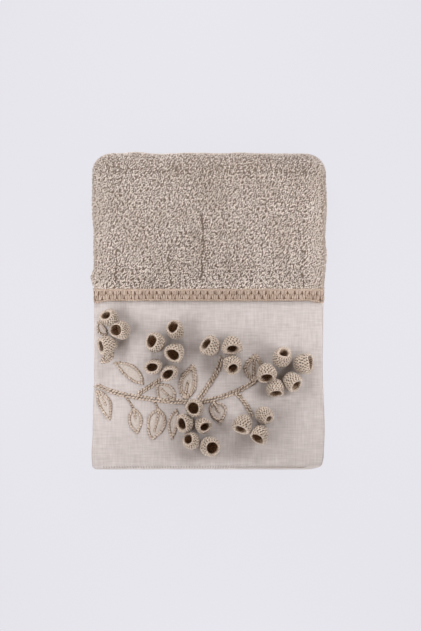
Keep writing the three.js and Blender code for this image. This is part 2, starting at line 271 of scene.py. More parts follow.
def folded_sheet(name, ply, gap, skin, steps, rows, relief, material, slot, nodes):
    """A closed folded cloth: both faces of its middle line, carried along the strip, with its ends closed.
    Returns the piece and the cloth's own numbers, from which places on its skin are found."""
    line, at, stack = thirds(ply, gap, steps), along(rows), 3 * ply + 2 * gap
    outer = line[:, :2] + line[:, 2:] * skin / 2
    inner = line[:, :2] - line[:, 2:] * skin / 2
    section = np.concatenate([outer, inner[::-1]])
    points = place(section[None, :, 0], section[None, :, 1], at[:, None, :], relief, stack)
    count = len(section)
    faces = [grid_faces(len(at), count, wrap=True)]
    for ring, turned in ((0, False), (len(at) - 1, True)):
        i = np.arange(len(line) - 1)
        cap = np.stack([i, count - 1 - i, count - 2 - i, i + 1], 1) + ring * count
        faces.append(cap[:, ::-1] if turned else cap)
    bent = np.abs(np.concatenate([line[:, 2], line[::-1, 2]]))
    made = piece(name, points.reshape(-1, 3), np.concatenate(faces), material, slot, nodes,
                 bent=np.tile(bent, len(at)))
    return made, (line, at, relief, stack)


terry_ground, terry = folded_sheet("terry_ground", 3.4, 0.5, PLY, (8, 8, 56, 8), TERRY_ROWS, terry_relief,
                                   ground_cotton, "terry_cloth", ["terry_body"])

# Terry pile: thousands of small twisted cotton loops, sewn into the ground cloth as it is woven. They stand
# close wherever it shows and far apart below, lie mostly towards the upper right in uneven tufts with dark pits
# between, and part along a few creases.
pile_cotton, tree, surface = cloth_material("terry pile cotton", 0.9, 0.35)
cloud = add(tree, "TexNoise", None, Vector=scaled_place(tree, 28, 28, 28), Scale=1.0, Detail=2.0)
patch = add(tree, "MapRange", None, Value=cloud, i1=0.35, i2=0.65)
tone = stored(tree, "tone")
shade = ramp(tree, patch, ramp(tree, tone, "#cdbfb6", "#f3e9e2"), ramp(tree, tone, "#bfb0a5", "#e8dcd3"))
# Painted shade: each loop is painted dark towards its root and on low loops in thin tufts, for the shade among the
# loops.
root = add(tree, "MapRange", None, Value=stored(tree, "tip"), i1=0.04, i2=0.75)
tree.links.new(ramp(tree, root, "#54443a", shade), surface.inputs["Base Color"])
PARTINGS = [
    # x, lowest y, highest y, half width of the bare crease
    (-6.5, 30, 97, 0.95), (-38.5, 27, 62, 0.55), (-92.5, 28, 62, 0.6), (93.5, 24, 60, 0.45),
]
TUFT_WAVES = [
    # heading of the wave in degrees, its length, its phase
    (142, 2.5, 0.4), (128, 3.1, 2.1), (157, 3.9, 4.0), (48, 5.6, 1.3), (92, 4.4, 5.2), (12, 5.0, 3.3),
]


def tufts(across, along_it):
    """How full the pile stands, 0 to 1: 0.5 + 0.5 tanh(0.8 w + 0.7) of the sum w of crossing
    waves sin(2 pi d / length)."""
    waves = 0
    for heading, length, phase in TUFT_WAVES:
        d = across * np.cos(np.radians(heading)) + along_it * np.sin(np.radians(heading))
        bow = 1.4 * np.sin((across - along_it) / 13 + phase)
        waves = waves + np.sin(2 * np.pi * d / length + phase + bow)
    return 0.5 + 0.5 * np.tanh(0.8 * waves + 0.7)


def parted(x, y):
    """True where a crease leaves the ground cloth bare: |x - cx - wander| under its half width."""
    bare = np.zeros(np.shape(x), bool)
    for cx, low, high, width in PARTINGS:
        wander = 0.9 * np.sin(y / 9.0 + cx) + 0.4 * np.sin(y / 3.1)
        bare |= (np.abs(x - cx - wander) < width) & (y > low) & (y < high)
    return bare


def tubes(paths, radii, side, sides=4):
    """Tubes round many paths at once. paths is (n, k, 3), radii (n, k), and side (n, 3) a vector across each
    path: ring points are p + r (cos a b + sin a c), with b the side made square to the path and c = t x b."""
    t = np.gradient(paths, axis=1)
    t /= np.linalg.norm(t, axis=2, keepdims=True) + 1e-9
    b = side[:, None, :] - t * np.sum(side[:, None, :] * t, axis=2, keepdims=True)
    b /= np.linalg.norm(b, axis=2, keepdims=True) + 1e-9
    c = np.cross(t, b)
    a = np.arange(sides) * 2 * np.pi / sides
    ring = b[:, :, None, :] * np.cos(a)[:, None] + c[:, :, None, :] * np.sin(a)[:, None]
    points = paths[:, :, None, :] + radii[:, :, None, None] * ring
    one = grid_faces(paths.shape[1], sides, wrap=True)
    faces = one[None] + (np.arange(len(paths)) * paths.shape[1] * sides)[:, None, None]
    return points.reshape(-1, 3), faces.reshape(-1, 4)


def surface_frame(cloth, u, v, reach):
    """Points and frames on a folded cloth's outer skin: u runs along the section's middle line and v along
    the strip, both as fractional row numbers, and reach is the skin's distance from the middle line."""
    line, at, relief, stack = cloth

    def point(u, v):
        i, k = np.arange(len(line)), np.arange(len(at))
        sx, sh, nx, nh = (np.interp(u, i, line[:, c]) for c in range(4))
        strip = np.stack([np.interp(v, k, at[:, c]) for c in range(at.shape[1])], -1)
        return place(sx + nx * reach, sh + nh * reach, strip, relief, stack)

    here = point(u, v)
    du, dv = point(u + 0.05, v) - point(u - 0.05, v), point(u, v + 0.05) - point(u, v - 0.05)
    du /= np.linalg.norm(du, axis=1, keepdims=True)
    dv /= np.linalg.norm(dv, axis=1, keepdims=True)
    out = np.cross(du, dv)
    out /= np.linalg.norm(out, axis=1, keepdims=True)
    return here, du, np.cross(out, du), out


def spread(cloth, u_span, v_span, pitch, rng, uneven=0.42):
    """Jittered places about pitch apart over a patch of the skin, in rows of equal arc length in u and in v:
    their row numbers u and v, and how far they lie along each."""
    fine_u, fine_v = np.linspace(*u_span, 400), np.linspace(*v_span, 600)
    pu = surface_frame(cloth, fine_u, np.full(400, np.mean(v_span)), 1.0)[0]
    pv = surface_frame(cloth, np.full(600, np.mean(u_span)), fine_v, 1.0)[0]
    arc_u = np.r_[0, np.cumsum(np.linalg.norm(np.diff(pu, axis=0), axis=1))]
    arc_v = np.r_[0, np.cumsum(np.linalg.norm(np.diff(pv, axis=0), axis=1))]
    nu, nv = max(2, int(arc_u[-1] / pitch)), max(2, int(arc_v[-1] / (pitch * 0.95)))
    gu, gv = np.meshgrid(np.arange(nu) + 0.5, np.arange(nv) + 0.5)
    gu = gu + 0.5 * (np.arange(nv)[:, None] % 2) - 0.25
    gu = (gu + rng.uniform(-uneven, uneven, gu.shape)) * arc_u[-1] / nu
    gv = (gv + rng.uniform(-uneven, uneven, gv.shape)) * arc_v[-1] / nv
    places = np.interp(gu, arc_u, fine_u), np.interp(gv, arc_v, fine_v), gu + arc_u[-1] * u_span[0], gv
    return [column.ravel() for column in places]


def pile(name, patches, rng, sides=4, radius=0.5):
    """Joined loops over patches of the terry: a loop is p - a cos(pi s) d + h sin(pi s)^0.7 n + lean, s from
    0 to 1, with h lower where the tufts are thin and no loop in the pits and creases. The number tip, low at the
    root and on low loops, paints the loops darker there as painted shade. Near the sides the tufts close up and
    tip evens out to a mid tone, and the floor stops the lowest loops."""
    all_points, all_faces, tips, tones, count = [], [], [], [], 0
    segments = 4
    for u_span, v_span, pitch, height in patches:
        u, v, across_it, along_it = spread(terry, u_span, v_span, pitch, rng)
        p, du, dv, out = surface_frame(terry, u, v, PLY / 2 - 0.2)
        full = tufts(across_it, along_it)
        closed = 0.95 * np.clip((np.abs(p[:, 0] + 1) - 98) / 9, 0, 1)
        full = full + (1 - full) * closed
        stays = (full > 0.06) & ~(parted(p[:, 0], p[:, 1]) & (out[:, 2] > 0.7))
        p, du, dv, out, full, closed = (column[stays] for column in (p, du, dv, out, full, closed))
        n = len(p)
        turn = np.radians(rng.normal(54, 24, n))
        d = du * np.cos(turn)[:, None] + dv * np.sin(turn)[:, None]
        across = np.cross(out, d)
        span = rng.uniform(0.75, 1.3, n)
        tall = height * rng.uniform(0.85, 1.15, n) * (0.45 + 0.6 * full)
        lean = rng.normal(0, 0.5, (n, 2))
        s = np.linspace(0, 1, segments)
        arc = np.sin(np.pi * s)
        paths = (p[:, None] - (span[:, None] * np.cos(np.pi * s))[..., None] * d[:, None]
                 + (tall[:, None] * arc**0.7)[..., None] * out[:, None]
                 + (lean[:, :1] * arc)[..., None] * across[:, None]
                 + (lean[:, 1:] * arc**2)[..., None] * d[:, None])
        radii = radius * rng.uniform(0.8, 1.15, n)[:, None] * (0.75 + 0.25 * arc)[None]
        points, faces = tubes(paths, radii, across, sides)
        all_points.append(points)
        all_faces.append(faces + count)
        count += len(points)
        # tip: painted shade, low at the root and on low loops, drawn to a mid tone near the sides.
        tip = arc[None] * (0.35 + 0.65 * full[:, None])
        tips.append(np.repeat((tip + (0.61 - tip) * 0.85 * closed[:, None]).ravel(), sides))
        tones.append(np.repeat(rng.uniform(0, 1, n), segments * sides))
    points = np.concatenate(all_points)
    points[:, 2] = np.maximum(points[:, 2], 0.15)
    return piece(name, points, np.concatenate(all_faces), pile_cotton, "terry_cloth",
                 tip=np.concatenate(tips), tone=np.concatenate(tones))


# Rows of the section: the left bend starts at 8, the shown third at 16, the right bend at 72, the lowest at 80.
# Rows of the strip: the top fold starts at 44 and ends at 64, the front fold runs from 80 to 92, the hem is at
# 129.
LEFT, SHOWN, RIGHT, LOWEST = 8, 16, 72, 80
rng = np.random.default_rng(7)
pile_pieces = [
    pile("terry_pile_left", [((SHOWN, 44), (0, 44), 1.43, 1.35)], rng),
    pile("terry_pile_right", [((44, RIGHT), (0, 44), 1.43, 1.35)], rng),
    pile("terry_pile_fold", [((SHOWN, RIGHT), (44, 60), 1.6, 1.2)], rng),
    pile("terry_pile_sides",
         [(side, part, pitch, 1.0) for side in ((LEFT, SHOWN + 0.6), (RIGHT - 0.6, LOWEST - 1))
          for part, pitch in (((0, 44), 2.0), ((44, 64), 1.75), ((64, 129), 2.35))],
         rng, sides=3, radius=0.65),
    pile("terry_pile_below", [((SHOWN, RIGHT), (60, 80), 7.0, 0.7), ((SHOWN, RIGHT), (80, 92), 1.75, 1.0)],
         rng, sides=3, radius=0.85),
]

# Crochet insertion: a strip of crocheted cotton that joins the terry to the linen, folded in thirds with
# them. Two rows of stitch clusters stand half a repeat apart, so that small dark eyelets show in two rows.
crochet_cotton, tree, surface = cloth_material("crochet cotton", 0.85, 0.25)
fibre = add(tree, "TexNoise", None, Vector=scaled_place(tree, 1500, 1500, 1500), Scale=1.0, Detail=2.0)
strand = ramp(tree, stored(tree, "tone"), "#b09b8b", "#cbb8aa")
# Painted shade: each stitch is painted darker towards its ends, where it dives into the work.
round_share = add(tree, "MapRange", None, Value=stored(tree, "tip"), i1=0.0, i2=0.6)
tree.links.new(ramp(tree, round_share, "#9e8777", strand), surface.inputs["Base Color"])
tree.links.new(add(tree, "Bump", None, Strength=0.35, Distance=0.0003, Height=fibre), surface.inputs["Normal"])
# Painted shade: the sheet under the stitches is dark brown, standing for the shade in the eyelets and between the
# stitches.
crochet_shade, tree, surface = cloth_material("crochet eyelet painted shade", 0.95, 0.1)
fibre = add(tree, "TexNoise", None, Vector=scaled_place(tree, 1200, 1200, 1200), Scale=1.0, Detail=2.0)
tree.links.new(ramp(tree, fibre, "#6b5546", "#826b5c"), surface.inputs["Base Color"])

CROCHET_ROWS = [{"span": (10.9, 22.1), "z": TOP_STRIP_Z, "face": 1, "steps": 6}]
flat_strip = lambda x, y: 0 * x
crochet_strip, crochet = folded_sheet("crochet_shade_sheet", 2.0, 0.4, 1.2, (10, 8, 60, 10), CROCHET_ROWS,
                                      flat_strip, crochet_shade, "crochet_cotton", ["crochet_insertion"])


def on_crochet(x, y):
    """Points and frames on the crochet strip's outer skin, x the distance along it from its middle."""
    u_of = np.linspace(10, 85.99, 900)
    p = surface_frame(crochet, u_of, np.full(900, 2.5), 0.6)[0]
    arc = np.r_[0, np.cumsum(np.linalg.norm(np.diff(p, axis=0), axis=1))]
    arc -= np.interp(48.0, u_of, arc)
    at = crochet[1]
    return surface_frame(crochet, np.interp(x, arc, u_of), np.interp(y, at[:, 0], np.arange(len(at))), 0.6)


PERIOD = 7.25
STRANDS = [
    # foot x, head x, foot y, head y, radius, rise over the ground: the lower fan, then the upper one
    (-1.9, -2.9, 11.5, 16.6, 0.68, 0.5), (-0.7, -1.05, 11.3, 17.0, 0.72, 0.85),
    (0.7, 1.05, 11.3, 17.0, 0.72, 0.85), (1.9, 2.9, 11.5, 16.6, 0.68, 0.5),
    (1.9, 0.85, 16.2, 21.0, 0.68, 0.6), (3.0, 2.6, 15.7, 21.0, 0.72, 0.95),
    (4.25, 4.65, 15.7, 21.0, 0.72, 0.95), (5.35, 6.4, 16.2, 21.0, 0.68, 0.6),
]
CHAINS = [
    # y at the start, y at the end, step along, length, radius, rise: rows of short links along the strip
    (11.5, 10.8, 2.4, 2.8, 0.62, 0.4), (10.8, 10.2, 2.4, 2.8, 0.62, -0.45), (20.2, 21.1, 2.2, 2.7, 0.72, 0.65),
    (21.3, 22.0, 2.5, 2.8, 0.75, 0.55),
]


def crochet_work(rng):
    """Joined stitches: each strand is a fat arched tube, p + n rise (0.45 + 0.55 sin(pi s)), and short chain
    links lie along both edges. The work hangs lower towards the two sides of the towel."""
    half = 124.0
    runs = [(middle + foot_x, middle + head_x, foot_y, head_y, radius, rise)
            for middle in np.arange(-half, half, PERIOD)
            for foot_x, head_x, foot_y, head_y, radius, rise in STRANDS]
    for y0, y1, step, length, radius, rise in CHAINS:
        runs += [(start, start + length, y0, y1, radius, rise) for start in np.arange(-half, half, step)]
    runs = np.array(runs)
    runs[:, :4] += rng.normal(0, 0.2, (len(runs), 4))
    s = np.linspace(0, 1, 6)
    x = runs[:, :1] * (1 - s) + runs[:, 1:2] * s
    y = runs[:, 2:3] * (1 - s) + runs[:, 3:4] * s
    sag = 2.2 * np.clip((np.abs(x) - 99) / 12, 0, 1) ** 1.5 * (22.1 - y) / 11.2
    p, du, dv, out = on_crochet(x.ravel(), y.ravel())
    arc = np.sin(np.pi * s)
    p = p + out * (runs[:, 5:6] * (0.45 + 0.55 * arc)).ravel()[:, None]
    p[:, 1] += (np.clip(y, None, 10.9) - 10.9).ravel() - sag.ravel()
    paths = p.reshape(len(runs), 6, 3)
    radii = runs[:, 4:5] * (0.7 + 0.3 * arc)
    side = np.cross(paths[:, -1] - paths[:, 0], out.reshape(len(runs), 6, 3)[:, 3])
    points, faces = tubes(paths, radii, side, 6)
    return points, faces, np.repeat(rng.uniform(0, 1, len(runs)), 36), np.repeat(np.tile(arc, len(runs)), 6)


points, faces, tones, tips = crochet_work(np.random.default_rng(11))
crochet_stitches = piece("crochet_stitches", points, faces, crochet_cotton, "crochet_cotton",
                         tone=tones, tip=tips)

# Linen panel: the towel's embroidered end, a washed plain-weave linen folded in thirds, flat over the stack.
# Its uneven threads show as fine slubs both ways, it puckers where the cups pull it, and its hem droops.
linen_cloth, tree, surface = cloth_material("washed linen", 0.8, 0.2)
weft = add(tree, "TexNoise", None, Vector=scaled_place(tree, 60, 700, 200), Scale=1.0, Detail=4.0)
warp = add(tree, "TexNoise", None, Vector=scaled_place(tree, 850, 50, 200), Scale=1.0, Detail=4.0)
slub = add(tree, "Math", {"operation": "ADD"}, i0=weft, i1=warp)
patch = add(tree, "TexNoise", None, Vector=scaled_place(tree, 130, 130, 130), Scale=1.0, Detail=5.0)
slub = add(tree, "Math", {"operation": "MULTIPLY_ADD"}, i0=patch, i1=0.6, i2=slub)
level = add(tree, "MapRange", None, Value=slub, i1=0.9, i2=1.7)
tree.links.new(ramp(tree, level, "#b0a8a6", "#cec7c6"), surface.inputs["Base Color"])
threads = add(tree, "TexWave", {"bands_direction": "X"}, Vector=scaled_place(tree, 1, 1, 1), Scale=290.0)
cross = add(tree, "TexWave", {"bands_direction": "Y"}, Vector=scaled_place(tree, 1, 1, 1), Scale=290.0)
threads = add(tree, "Math", {"operation": "MULTIPLY_ADD"}, i0=threads, i1=0.25, i2=slub)
threads = add(tree, "Math", {"operation": "MULTIPLY_ADD"}, i0=cross, i1=0.25, i2=threads)
tree.links.new(add(tree, "Bump", None, Strength=0.3, Distance=0.0003, Height=threads), surface.inputs["Normal"])

HEM_DROOP = 15.0
LINEN_ROWS = [
    {"span": (132, 90), "y": -145.9, "z": TOP_STRIP_Z - HEM_DROOP, "radius": HEM_DROOP, "face": 1,
     "soft": (0.3, 1), "steps": 12},
    {"span": (-145.9, 10.7), "z": TOP_STRIP_Z, "face": 1, "soft": (1, 1), "steps": 78},
]
PUCKERS = [
    # x, y, direction of the ridge in degrees, its length, its half width, its rise
    (-58, -44, 70, 9, 1.6, 0.7), (-62, -47, 110, 8, 1.5, -0.6), (66, -86, 5, 17, 1.3, 1.1),
    (72, -89.5, -6, 18, 1.2, -1.0), (15, -93, 0, 12, 1.3, 0.35), (-28, -46, 40, 8, 1.5, -0.35),
    (86, -62, 60, 8, 1.4, 0.4), (-90, -42, 60, 8, 1.5, 0.3), (34, -102, 80, 7, 1.4, -0.35),
    (62, -116, 30, 10, 1.6, 0.4), (-10, -70, 100, 16, 2.2, 0.3), (44, -60, 60, 12, 2.0, 0.3),
]
PUCKER_STRENGTH = 2.0


def linen_relief(x, y):
    """Lift of the linen: long gentle waves a sin, and each pucker 2 d exp(-(across/w)^2 - (along/l)^2)."""
    lift = 0.22 * np.sin(x / 17 + 0.8 * np.sin(y / 31)) * np.cos(y / 23) + 0.12 * np.sin(x / 7.3 + y / 19)
    for cx, cy, heading, length, width, rise in PUCKERS:
        a = np.radians(heading)
        forward = (x - cx) * np.cos(a) + (y - cy) * np.sin(a)
        across = -(x - cx) * np.sin(a) + (y - cy) * np.cos(a)
        lift = lift + PUCKER_STRENGTH * rise * np.exp(-((across / width) ** 2) - (forward / length) ** 2)
    return lift


linen_panel, linen = folded_sheet("linen_end", 1.2, 0.5, 1.2, (6, 8, 96, 6), LINEN_ROWS, linen_relief,
                                  linen_cloth, "linen_cloth", ["linen_panel"])

# Linen hem: a row of short upright stitches in linen thread, sewn through the turned-up edge where it droops.
thread, tree, surface = cloth_material("linen sewing thread", 0.75, 0.1)
fibre = add(tree, "TexNoise", None, Vector=scaled_place(tree, 2500, 2500, 2500), Scale=1.0, Detail=1.0)
tree.links.new(ramp(tree, fibre, "#8b7f78", "#c0b6b0"), surface.inputs["Base Color"])


def sewn(paths, radii, side, sides, rng):
    """Tubes for stitches, with a tone for each and a number tip that is 0 at a stitch's ends and 1 between, by
    which the embroidery yarn is painted darker at the ends, as painted shade.
    """
    count, steps = paths.shape[:2]
    points, faces = tubes(paths, radii, side, sides)
    tip = np.sin(np.pi * np.linspace(0, 1, steps))
    return points, faces, {"tone": np.repeat(rng.uniform(0, 1, count), steps * sides),
                           "tip": np.repeat(np.tile(tip, count), sides)}


def linen_top(x, y):
    """Height of the linen's face."""
    return LINEN_TOP_Z + linen_relief(x, y)


def lying_stitches(starts, ends, ground, radius, rise, rng, sides=6, steps=6):
    """Stitches from start to end (x, y) over a ground height(x, y): a tube lifted by rise sin(pi s), thin at
    both ends, where it dives into the cloth."""
    s = np.linspace(0, 1, steps)
    flat = starts[:, None] * (1 - s)[:, None] + ends[:, None] * s[:, None]
    arc = np.sin(np.pi * s)
    z = ground(flat[..., 0], flat[..., 1]) + rise * arc - radius * 0.5 * (1 - arc)
    paths = np.concatenate([flat, z[..., None]], -1)
    side = np.cross(paths[:, -1] - paths[:, 0] + [1e-6, 0, 0], [0.0, 0.0, 1.0])
    return sewn(paths, radius * np.tile(0.45 + 0.55 * arc**0.6, (len(starts), 1)), side, sides, rng)


rng = np.random.default_rng(5)
HEM_STITCH_STEP, HEM_STITCH_RADIUS = 1.12, 0.33
places = np.arange(18.0, 105.0, HEM_STITCH_STEP)
s = np.linspace(0, 1, 5)
u = np.repeat(places, 5) + np.tile(0.12 * s, len(places))
v = np.repeat(rng.normal(1.6, 0.12, len(places)), 5) + np.tile(2.4 * s, len(places))
p, du, dv, out = surface_frame(linen, u, v, 0.55)
paths = (p + out * np.tile(0.28 * np.sin(np.pi * s), len(places))[:, None]).reshape(len(places), 5, 3)
points, faces, numbers = sewn(paths, np.full((len(places), 5), HEM_STITCH_RADIUS),
                              du.reshape(len(places), 5, 3)[:, 2], 5, rng)
hem_stitches = piece("hem_stitches", points, faces, thread, "linen_cloth", **numbers)

# Stems: rope stitch in soft cotton yarn, two rows of short slanted stitches over a dark tube of painted shade,
# which stands for the shade between the stitches. The two thin stalks have one row.
yarn, tree, surface = cloth_material("embroidery yarn", 0.85, 0.3)
fibre = add(tree, "TexNoise", None, Vector=scaled_place(tree, 1800, 1800, 1800), Scale=1.0, Detail=2.0)
strand = ramp(tree, stored(tree, "tone"), "#b5a394", "#d1c2b5")
# Painted shade: each stitch is painted darker towards its ends, where it dives into the linen.
round_share = add(tree, "MapRange", None, Value=stored(tree, "tip"), i1=0.2, i2=0.9)
tree.links.new(ramp(tree, round_share, "#7b6757", strand), surface.inputs["Base Color"])
tree.links.new(add(tree, "Bump", None, Strength=0.4, Distance=0.0003, Height=fibre), surface.inputs["Normal"])
# Painted shade: a dark brown tube under the stitches, standing for the shade in the gaps between them.
gap_shade_yarn, tree, surface = cloth_material("painted shade under the stitches", 0.95, 0.0)
fibre = add(tree, "TexNoise", None, Vector=scaled_place(tree, 1500, 1500, 1500), Scale=1.0, Detail=2.0)
tree.links.new(ramp(tree, fibre, "#6c5a4b", "#857262"), surface.inputs["Base Color"])


def smooth_line(points, step):
    """A cardinal spline through the points, returned as places about step apart, with unit headings."""
    p = np.array(points, float)
    p = np.concatenate([[2 * p[0] - p[1]], p, [2 * p[-1] - p[-2]]])
    t = np.linspace(0, 1, 24, endpoint=False)[:, None]
    out = [0.5 * (2 * b + (c - a) * t + (2 * a - 5 * b + 4 * c - d) * t**2 + (3 * b - a - 3 * c + d) * t**3)
           for a, b, c, d in zip(p, p[1:], p[2:], p[3:])]
    line = np.concatenate([*out, p[-2:-1]])
    arc = np.r_[0, np.cumsum(np.linalg.norm(np.diff(line, axis=0), axis=1))]
    want = np.linspace(0, arc[-1], max(2, int(round(arc[-1] / step)) + 1))
    spots = np.stack([np.interp(want, arc, line[:, c]) for c in (0, 1)], 1)
    heads = np.gradient(spots, axis=0)
    return spots, heads / np.linalg.norm(heads, axis=1, keepdims=True)


def stitch_ends(points, lanes, step, length, slant, rng):
    """Where slanted stitches start and end along a line: lanes are their distances to its left and how far each
    row is set forward, and slant turns a stitch off the line."""
    starts, ends = [], []
    for lane, shift in lanes:
        spots, heads = smooth_line(points, step)
        left = np.stack([-heads[:, 1], heads[:, 0]], 1)
        turn = np.radians(slant + rng.normal(0, 7, len(spots)))[:, None]
        along_it = heads * np.cos(turn) + left * np.sin(turn)
        middle = spots + left * lane + heads * shift + rng.normal(0, 0.2, spots.shape)
        reach = length / 2 * rng.uniform(0.88, 1.1, len(spots))[:, None]
        starts.append(middle - along_it * reach)
        ends.append(middle + along_it * reach)
    return np.concatenate(starts), np.concatenate(ends)


def shade_tube_line(points, lane, radius, lift):
    """One dark tube beside a line, half sunk in the linen and pointed at both ends: painted shade between the
    stitches.
    """
    spots, heads = smooth_line(points, 1.6)
    flat = spots + np.stack([-heads[:, 1], heads[:, 0]], 1) * lane
    path = np.column_stack([flat, linen_top(flat[:, 0], flat[:, 1]) + lift])
    taper = np.clip(np.sin(np.pi * np.linspace(0, 1, len(path))) * 4, 0.2, 1)
    side = np.cross(path[-1] - path[0], [0.0, 0.0, 1.0])
    points, faces = tubes(path[None], (radius * taper)[None], side[None], 8)
    return points, faces


def joined(parts):
    """Several (points, faces) as one."""
    starts = np.cumsum([0] + [len(points) for points, _ in parts[:-1]])
    return np.concatenate([points for points, _ in parts]), np.concatenate(
        [faces + start for (_, faces), start in zip(parts, starts)])


STEMS = {
    # name: points of its line, lanes as (offset, set forward), step, stitch length, radius
    "stem_main": ([(-112.3, -73.9), (-94, -81.4), (-64, -87.3), (-34, -90.4), (-4, -90), (25, -81.5),
                   (46, -70.2)], [(-1.25, 0.0), (1.25, 1.6)], 3.2, 4.7, 0.9),
    "stem_left": ([(-71, -83), (-61.5, -77), (-48, -68)], [(-1.15, 0.0), (1.15, 1.6)], 3.1, 4.5, 0.87),
    "stem_middle": ([(-10, -87.5), (3, -69), (8.5, -59), (12, -48.5)],
                    [(-1.25, 0.0), (1.25, 1.6)], 3.2, 4.7, 0.9),
    "stem_low": ([(28.5, -83), (34, -89.5), (38.5, -96), (42.3, -103.5)],
                 [(-1.1, 0.0), (1.1, 1.6)], 3.1, 4.4, 0.84),
    "stalk_near": ([(-83, -86.5), (-78.5, -92), (-75, -98)], [(0.0, 0.0)], 2.7, 3.6, 0.62),
    "stalk_mid": ([(-55, -90.5), (-52, -95), (-51, -98.5)], [(0.0, 0.0)], 2.7, 3.4, 0.62),
}
rng = np.random.default_rng(23)
stems, shade_tubes = [], []
for name, (line, lanes, step, length, radius) in STEMS.items():
    starts, ends = stitch_ends(line, lanes, step, length, 23, rng)
    points, faces, numbers = lying_stitches(starts, ends, linen_top, radius, 1.0, rng)
    stems.append(piece(name + "_stitched", points, faces, yarn, "embroidery_yarn", [name], **numbers))
    shade_tubes += [shade_tube_line(line, lane, 0.95, 0.15) for lane, _ in lanes]

# Leaves: outlines of stem stitch in the stems' yarn round a pad of pale linen thread, some with a stitched
# midrib. The pad is low and near the linen in colour, so that the outline is what the eye sees.
satin, tree, surface = cloth_material("leaf padding thread", 0.8, 0.2)
fibre = add(tree, "TexNoise", None, Vector=scaled_place(tree, 520, 520, 520), Scale=1.0, Detail=4.0)
tree.links.new(ramp(tree, fibre, "#a89d96", "#dcd3cd"), surface.inputs["Base Color"])
tree.links.new(add(tree, "Bump", None, Strength=0.7, Distance=0.0009, Height=fibre), surface.inputs["Normal"])
LEAVES = {
    # name: base, tip, width, bend of the midrib to the left, rows in the outline, share of the midrib sewn
    "leaf_1": ((-67, -71.8), (-93, -52), 12, -2, 1, 0.0), "leaf_2": ((-111, -80.5), (-100, -107.5), 11, 2, 1, 0.5),
    "leaf_3": ((-75, -98.5), (-72, -121), 12, 0, 1, 0.35), "leaf_4": ((-50.5, -99), (-57, -127), 17, 1, 1, 0.7),
    "leaf_5": ((-35.5, -88), (-51, -74), 17, 1, 1, 0.8), "leaf_6": ((-24, -86.5), (-16, -56), 16, 1, 2, 0.5),
    "leaf_7": ((5, -92), (12, -110), 15, 1, 1, 0.5), "leaf_8": ((45, -68.5), (46.5, -45), 18, 1, 2, 0.9),
    "leaf_9": ((-103.5, -24), (-110, -11), 7, 1, 1, 0.0), "leaf_10": ((-97, -43.5), (-107, -51), 7, 0, 1, 0.8),
    "leaf_11": ((-33, -100), (-37, -126), 8, -1, 1, 0.0),
}


def leaf(name, base, tip, width, bend, rows, rib_share, rng):
    """The pad's points are rib(t) + c w(t)/2 across it, with w(t) = width sin(pi t^0.85)^0.8 and c from -1 to
    1, and it is highest between rim and rib. Stem stitches run near c = -1 and c = 1, and along c = 0."""
    base, tip = np.array(base, float), np.array(tip, float)
    ahead = (tip - base) / np.linalg.norm(tip - base)
    left = np.array([-ahead[1], ahead[0]])

    def rib(t, c):
        t = np.asarray(t, float)[..., None]
        bow = base * (1 - t) + tip * t + left * 4 * bend * t * (1 - t)
        swell = np.maximum(0.05, np.sin(np.pi * np.clip(t, 0, 1) ** 0.85)) ** 0.8
        return bow - left * np.asarray(c)[..., None] * swell * width / 2

    t, c = np.meshgrid(np.linspace(0, 1, 26), np.linspace(-1, 1, 15), indexing="ij")
    flat = rib(t, c)
    end = np.sin(np.pi * np.clip(t, 0.02, 0.98)) ** 0.3
    puff = 0.75 * (1 - np.abs(c) ** 3.5) - 0.3 * np.exp(-((c / 0.12) ** 2)) + 0.1 * np.sin(t * 60 + c * 3)
    z = linen_top(flat[..., 0], flat[..., 1]) - 0.1 + end * np.maximum(puff, 0) * 0.9
    pad = np.concatenate([flat, z[..., None]], -1).reshape(-1, 3)
    pad_piece = piece(name + "_pad", pad, grid_faces(26, 15), satin, "embroidery_yarn", [name])
    if pad_piece.data.polygons[80].normal.z < 0:
        pad_piece.data.flip_normals()
    starts, ends = [], []
    lanes = [(0.0, 0.0)] if rows == 1 else [(-0.9, 0.0), (0.9, 1.2)]
    for edge, t1 in ((-1, 1.0), (1, 1.0), (0, rib_share)):
        if t1 == 0:
            continue
        line = rib(np.linspace(0, t1, 9), np.full(9, edge * (0.97 if rows == 1 else 0.85)))
        row_starts, row_ends = stitch_ends(line, lanes if edge else [(0.0, 0.0)], 2.7, 4.3,
                                           29 * (edge or 1), rng)
        starts.append(row_starts)
        ends.append(row_ends)
        # The leaf outlines get the same dark tubes of painted shade under their stitches.
        shade_tubes.extend(shade_tube_line(line, lane * 0.9, 0.7, 0.35) for lane, _ in lanes)
    ground = lambda x, y: linen_top(x, y) + 0.4
    points, faces, numbers = lying_stitches(np.concatenate(starts), np.concatenate(ends), ground, 0.92, 0.7,
                                            rng, steps=5)
    return [pad_piece, piece(name + "_outline", points, faces, yarn, "embroidery_yarn", **numbers)]


leaves = [made for name, row in LEAVES.items() for made in leaf(name, *row, rng)]
points, faces = joined(shade_tubes)
shade_tube_piece = piece("stitch_gap_shade", points, faces, gap_shade_yarn, "embroidery_yarn")

# Seed cups: little open pods crocheted in rounds of soft cotton, sewn on by their closed ends in six clusters.
# Their walls swell and draw in at a thick lip, each leans its own way, and inside their yarn is painted a deeper
# brown, as painted shade of the hollow.
cup_yarn, tree, surface = cloth_material("seed cup yarn", 0.88, 0.3)
fuzz = add(tree, "TexNoise", None, Vector=scaled_place(tree, 650, 650, 650), Scale=1.0, Detail=4.0)
knob = stored(tree, "knob")
plump = add(tree, "Math", {"operation": "MULTIPLY_ADD"}, i0=fuzz, i1=1.0, i2=knob)
light_share = add(tree, "MapRange", None, Value=plump, i1=0.92, i2=1.58)
